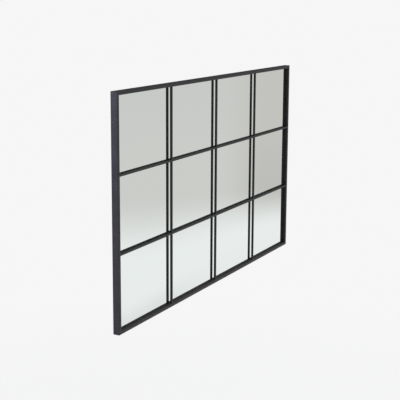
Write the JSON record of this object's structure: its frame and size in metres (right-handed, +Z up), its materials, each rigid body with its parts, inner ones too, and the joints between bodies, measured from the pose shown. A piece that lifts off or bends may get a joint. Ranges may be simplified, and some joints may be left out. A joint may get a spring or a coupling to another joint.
{
  "type": "window mirror",
  "caption": "Wide wall mirror made like a factory window: a mirror sheet behind a grid of slim black steel bars in a deep folded frame, hung by swinging rings.",
  "frame": {"origin": "centre of the back, in the plane of the wall that the frame's rear edges bear on", "axes": "+X along the width, to the right as seen from the front; +Y into the wall; +Z up"},
  "size_m": [1.2, 0.021, 0.7],
  "materials": {
    "frame_steel": "satin",
    "mirror": "polished",
    "hardboard": "matte",
    "bedding_tape": "matte",
    "block_rubber": "matte",
    "ring_steel": "zinc plated"
  },
  "bodies": {
    "mirror": {"top_rail": "frame_steel", "bottom_rail": "frame_steel", "left_stile": "frame_steel", "right_stile": "frame_steel", "upright_bar_1": "frame_steel", "upright_bar_2": "frame_steel", "upright_bar_3": "frame_steel", "cross_bar_1": "frame_steel", "cross_bar_2": "frame_steel", "top_clips": "frame_steel", "bottom_clips": "frame_steel", "left_clips": "frame_steel", "right_clips": "frame_steel", "left_hanger_leaf": "frame_steel", "right_hanger_leaf": "frame_steel", "top_tape": "bedding_tape", "bottom_tape": "bedding_tape", "left_tape": "bedding_tape", "right_tape": "bedding_tape", "mirror_glass": "mirror", "backing_board": "hardboard", "setting_blocks": "block_rubber"},
    "left_ring": {"left_hanger_ring": "ring_steel"},
    "right_ring": {"right_hanger_ring": "ring_steel"}
  },
  "joints": [
    {"name": "left_ring_swing", "type": "hinge", "parent": "mirror", "child": "left_ring", "pos_m": [-0.4, -0.00252, 0.304], "axis": [1, 0, 0], "range_deg": [-2, 177]},
    {"name": "right_ring_swing", "type": "hinge", "parent": "mirror", "child": "right_ring", "pos_m": [0.4, -0.00252, 0.304], "axis": [1, 0, 0], "range_deg": [-2, 177]}
  ]
}
